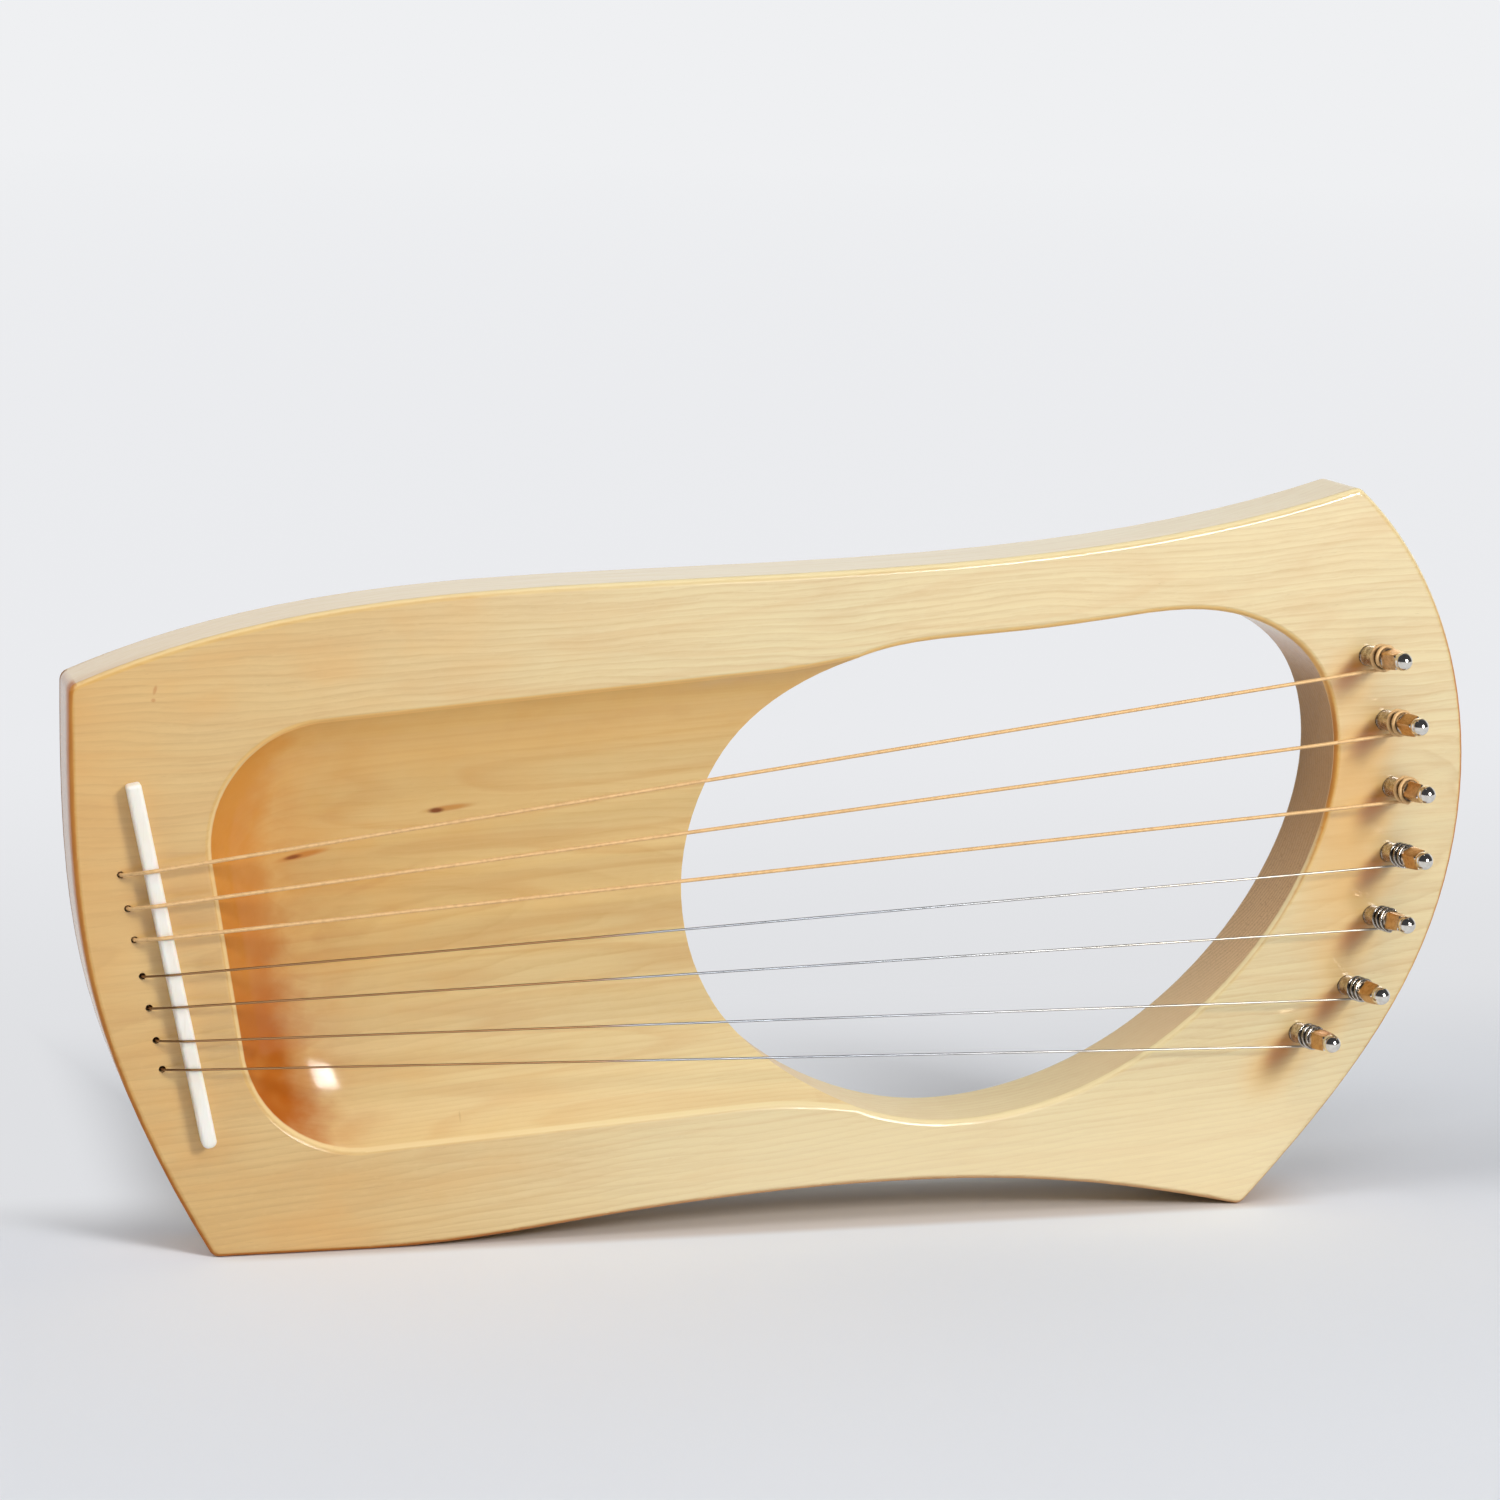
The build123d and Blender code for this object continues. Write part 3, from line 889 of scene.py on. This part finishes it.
def coil_path(number, first, last):
    """Points of the helix from turn first to turn last."""
    foot, axis, side, other = pin_axes(number)
    start, out, ahead = coil_start(number)
    reach = PIN_RADIUS + string_radius(number) + COIL_GAP
    turns, rise = coil_size(number)
    steps = max(8, int(abs(last - first) * COIL_STEPS))
    path = []
    for i in range(steps + 1):
        t = first + (last - first) * i / steps
        a = 2 * math.pi * t
        way = out * math.cos(a) + ahead * math.sin(a)
        path.append(foot + axis * (start + rise * t / turns) + way * reach)
    return path


def coil(number):
    """The string's turns on the pin, its bend into the eye and its cut end."""
    turns, rise = coil_size(number)
    radius = string_radius(number)
    path = coil_path(number, 0.0, turns)
    foot, axis, side, other = pin_axes(number)
    start = path[-1]
    into = (foot + axis * EYE_HEIGHT - start).normalized()
    ahead = (start - path[-2]).normalized()
    bend = 0.9 * radius + 0.35 * MM
    corner = start + ahead * bend
    goal = corner + into * bend
    for i in range(1, BEND_STEPS + 1):
        t = i / BEND_STEPS
        path.append(start * (1 - t) ** 2 + corner * 2 * t * (1 - t) + goal * t ** 2)
    through = 2 * PIN_RADIUS - 0.2 * MM
    for i in range(1, EYE_STEPS + 1):
        path.append(goal + into * through * i / EYE_STEPS)
    metal, slot = string_look(number)
    wire(f"coil_{number}", path, radius, metal, f"pin_{number}", [f"string_coil_{number}"])


def string_wrap(number):
    """The first part of the turn, where the string meets its pin. It is a
    little thinner than the coil, which covers it until the pin turns back."""
    path = coil_path(number, WRAP_FROM, WRAP_TO)
    metal, slot = string_look(number)
    wire(f"string_wrap_{number}", path, string_radius(number) * WRAP_SHARE, metal, "plank")


# ------------------------------------------------- ball ends behind the plank
# from one end to the middle: place along and radius, as shares of the
# barrel's half length and its radius
BARREL_HALF = [
    (-1.0, 0.55), (-0.97, 0.82), (-0.90, 0.95), (-0.80, 1.0),
    (-0.46, 1.0), (-0.40, 0.96), (-0.30, 0.72), (-0.24, 0.66),
]
BARREL_SIDES = 48
GROOVE = BARREL_HALF[-1][1]
LOOP_RADIUS = 0.30 * MM
LOOP_STEPS = 48
LOOP_GAP = 20                  # degrees left open in front, on each side
LOOP_TAIL = [(-2.3, 0.20), (-2.0, 0.32), (-1.75, 0.44)]    # y, z in mm from the middle


def ball_barrel(number):
    """Turned brass barrel with a groove for the string's loop."""
    lo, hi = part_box(f"ball_end_{number}")
    centre = (lo + hi) / 2
    half, big = (hi.x - lo.x) / 2, (hi.z - lo.z) / 2
    profile = BARREL_HALF + [(-x, r) for x, r in reversed(BARREL_HALF)]
    points = []
    for x, r in profile:
        for _, way in around(Vector((0, 1, 0)), Vector((0, 0, 1)), BARREL_SIDES):
            points.append(centre + Vector((x * half, 0, 0)) + way * r * big)
    points += [centre + Vector((-half, 0, 0)), centre + Vector((half, 0, 0))]
    faces = skin(len(profile), BARREL_SIDES, flip=True)
    add_mesh(f"ball_barrel_{number}", points, faces, BRASS, "plank", [f"ball_end_{number}"])
    ball_loop(number, centre, GROOVE * big + LOOP_RADIUS)


def ball_loop(number, centre, reach):
    """The string's loop in the barrel's groove, and its two tails forward."""
    tail = [(y * MM, z * MM) for y, z in LOOP_TAIL]
    ring = []
    for i in range(LOOP_STEPS + 1):
        a = math.radians(LOOP_GAP + (360 - 2 * LOOP_GAP) * i / LOOP_STEPS)
        ring.append((-reach * math.cos(a), reach * math.sin(a)))
    places = tail + ring + [(y, -z) for y, z in reversed(tail)]
    path = [centre + Vector((0, y, z)) for y, z in places]
    wire(f"ball_loop_{number}", path, LOOP_RADIUS, STEEL, "plank", sides=12)


for number in range(1, STRINGS + 1):
    tuning_pin(number)
    coil(number)
    string_wrap(number)
    ball_barrel(number)
    string_node = frame["nodes"][f"string_{number}"]
    wear(string_node, WINDING_X if number <= WOUND else STRING_STEEL)

wear(frame["nodes"]["body"], WOOD)
wear(frame["nodes"]["bridge"], BONE)


# ------------------------------------------------------------------- stage
FLOOR_RADIUS = 12.0
DOME_RADIUS = 14
HORIZON = linear(239, 240, 242)


def floor_colour(t, spot):
    """Pale grey, with a painted shade under the plank, warm with the wood's reflected colour."""
    x, y, z = t.split(spot)
    cloud = t.noise(spot, scale=2.2, detail=3)
    colour = t.mix(t.ramp(cloud, 0.3, 0.7), linear(226, 229, 234), linear(222, 225, 230))
    # painted shade under the plank and just behind it, tinted by the wood
    warm = t.times(
        t.ramp(y, BACK_Y + 0.012, BACK_Y - 0.004),
        t.ramp(y, FRONT_Y - 0.006, FRONT_Y),
        t.ramp(t.math("ABSOLUTE", x), 0.16, 0.13, 0.0, 0.45),
    )
    return t.mix(warm, colour, linear(178, 150, 118))


def floor_glow(t, y, away):
    """Even light from the floor itself, as bright as the backdrop far away."""
    glow = t.node("ShaderNodeEmission")
    pale = t.mix(t.ramp(y, 0.12, 0.75), linear(223, 224, 227), linear(234, 235, 238))
    pale = t.mix(t.ramp(away, 0.7, 9.0, smooth=False), pale, HORIZON)
    t.put(glow.inputs["Color"], pale)
    glow.inputs["Strength"].default_value = 1.0
    return glow.outputs[0]


def glow_share(t, x, y, away):
    """0 round the lyre, where its shadow falls, and 1 beyond."""
    behind = t.ramp(y, 0.07, 0.25)
    left = t.times(t.ramp(x, -0.140, -0.180), t.ramp(y, 0.01, 0.06))
    right = t.ramp(x, 0.32, 0.80)
    ahead = t.ramp(y, -0.10, -0.45)
    return t.larger(behind, left, right, ahead, t.ramp(away, 0.7, 1.4))


def stage_material():
    t = Surface("pale_floor")
    spot = t.node("ShaderNodeTexCoord").outputs["Object"]
    x, y, z = t.split(spot)
    away = t.vector("LENGTH", t.join(x, y, 0.0))
    t.set(Base_Color=floor_colour(t, spot), Roughness=0.7, Specular_IOR_Level=0.0)
    blend = t.node("ShaderNodeMixShader")
    t.put(blend.inputs[0], glow_share(t, x, y, away))
    t.put(blend.inputs[1], t.shader.outputs[0])
    t.put(blend.inputs[2], floor_glow(t, y, away))
    t.show(blend.outputs[0])
    return t.material


def disc(name, radius, height, sides=96):
    points = []
    for j in range(sides):
        turn = 2 * math.pi * j / sides
        points.append((radius * math.cos(turn), radius * math.sin(turn), height))
    mesh = bpy.data.meshes.new(name)
    mesh.from_pydata(points, [], [tuple(range(sides))])
    piece = bpy.data.objects.new(name, mesh)
    bpy.context.scene.collection.objects.link(piece)
    return piece


floor = disc("floor", FLOOR_RADIUS, cad_box[0].z)
floor.data.materials.append(stage_material())


def sky_material():
    t = Surface("pale_backdrop")
    glow = t.node("ShaderNodeEmission")
    glow.inputs["Color"].default_value = (*HORIZON, 1)
    t.show(glow.outputs[0])
    return t.material


def backdrop():
    """A pale dome round the stage that only the camera sees."""
    bpy.ops.mesh.primitive_uv_sphere_add(segments=64, ring_count=32, radius=DOME_RADIUS)
    piece = bpy.context.object
    piece.name = "backdrop"
    piece.data.materials.append(sky_material())
    piece.visible_diffuse = False
    piece.visible_glossy = False
    piece.visible_shadow = False
    piece.visible_transmission = False


backdrop()

# ------------------------------------------------------------------ lights
LAMP_TARGET = Vector((0, 0, 0.1))

# degrees from -Y toward +X, degrees up, metres away, size in metres, watts
LAMPS = {
    "key": (35, 29, 2.2, (0.55, 0.55), 31),
    "catch": (27, 17, 1.6, (0.42, 0.58), 30),
    "top": (0, 60, 1.8, (1.0, 0.8), 9.0),
    "left": (-75, 44, 2.2, (0.9, 0.9), 17),
}


def lamp(name, azimuth, elevation, distance, size, power):
    """Soft lamp aimed at the lyre. The catch lamp makes the highlights and
    lights nothing else, and the others make no highlights."""
    a, e = math.radians(azimuth), math.radians(elevation)
    way = Vector((math.sin(a) * math.cos(e), -math.cos(a) * math.cos(e), math.sin(e)))
    data = bpy.data.lights.new(name, "AREA")
    data.shape = "RECTANGLE"
    data.size, data.size_y = size
    data.energy = power
    piece = bpy.data.objects.new(name, data)
    piece.location = LAMP_TARGET + way * distance
    piece.rotation_mode = "QUATERNION"
    piece.rotation_quaternion = (-way).to_track_quat("-Z", "Y")
    piece.visible_diffuse = name != "catch"
    piece.visible_glossy = name == "catch"
    bpy.context.scene.collection.objects.link(piece)


for name, settings in LAMPS.items():
    lamp(name, *settings)


def make_world():
    """A bright low backdrop behind the lyre and a dim room above and in front."""
    world = bpy.data.worlds.new("studio")
    t = Tree(world)
    x, y, z = t.split(t.node("ShaderNodeTexCoord").outputs["Generated"])
    back = t.mix(t.ramp(z, 0.30, 0.62), (0.92, 0.93, 0.95), (0.14, 0.145, 0.155))
    room = t.mix(t.ramp(y, 0.0, 0.5), (0.055, 0.055, 0.06), back)
    background = t.nodes["Background"]
    t.put(background.inputs["Color"], room)
    background.inputs["Strength"].default_value = 1.0
    return world


bpy.context.scene.world = make_world()
bpy.context.scene.view_settings.view_transform = "Standard"
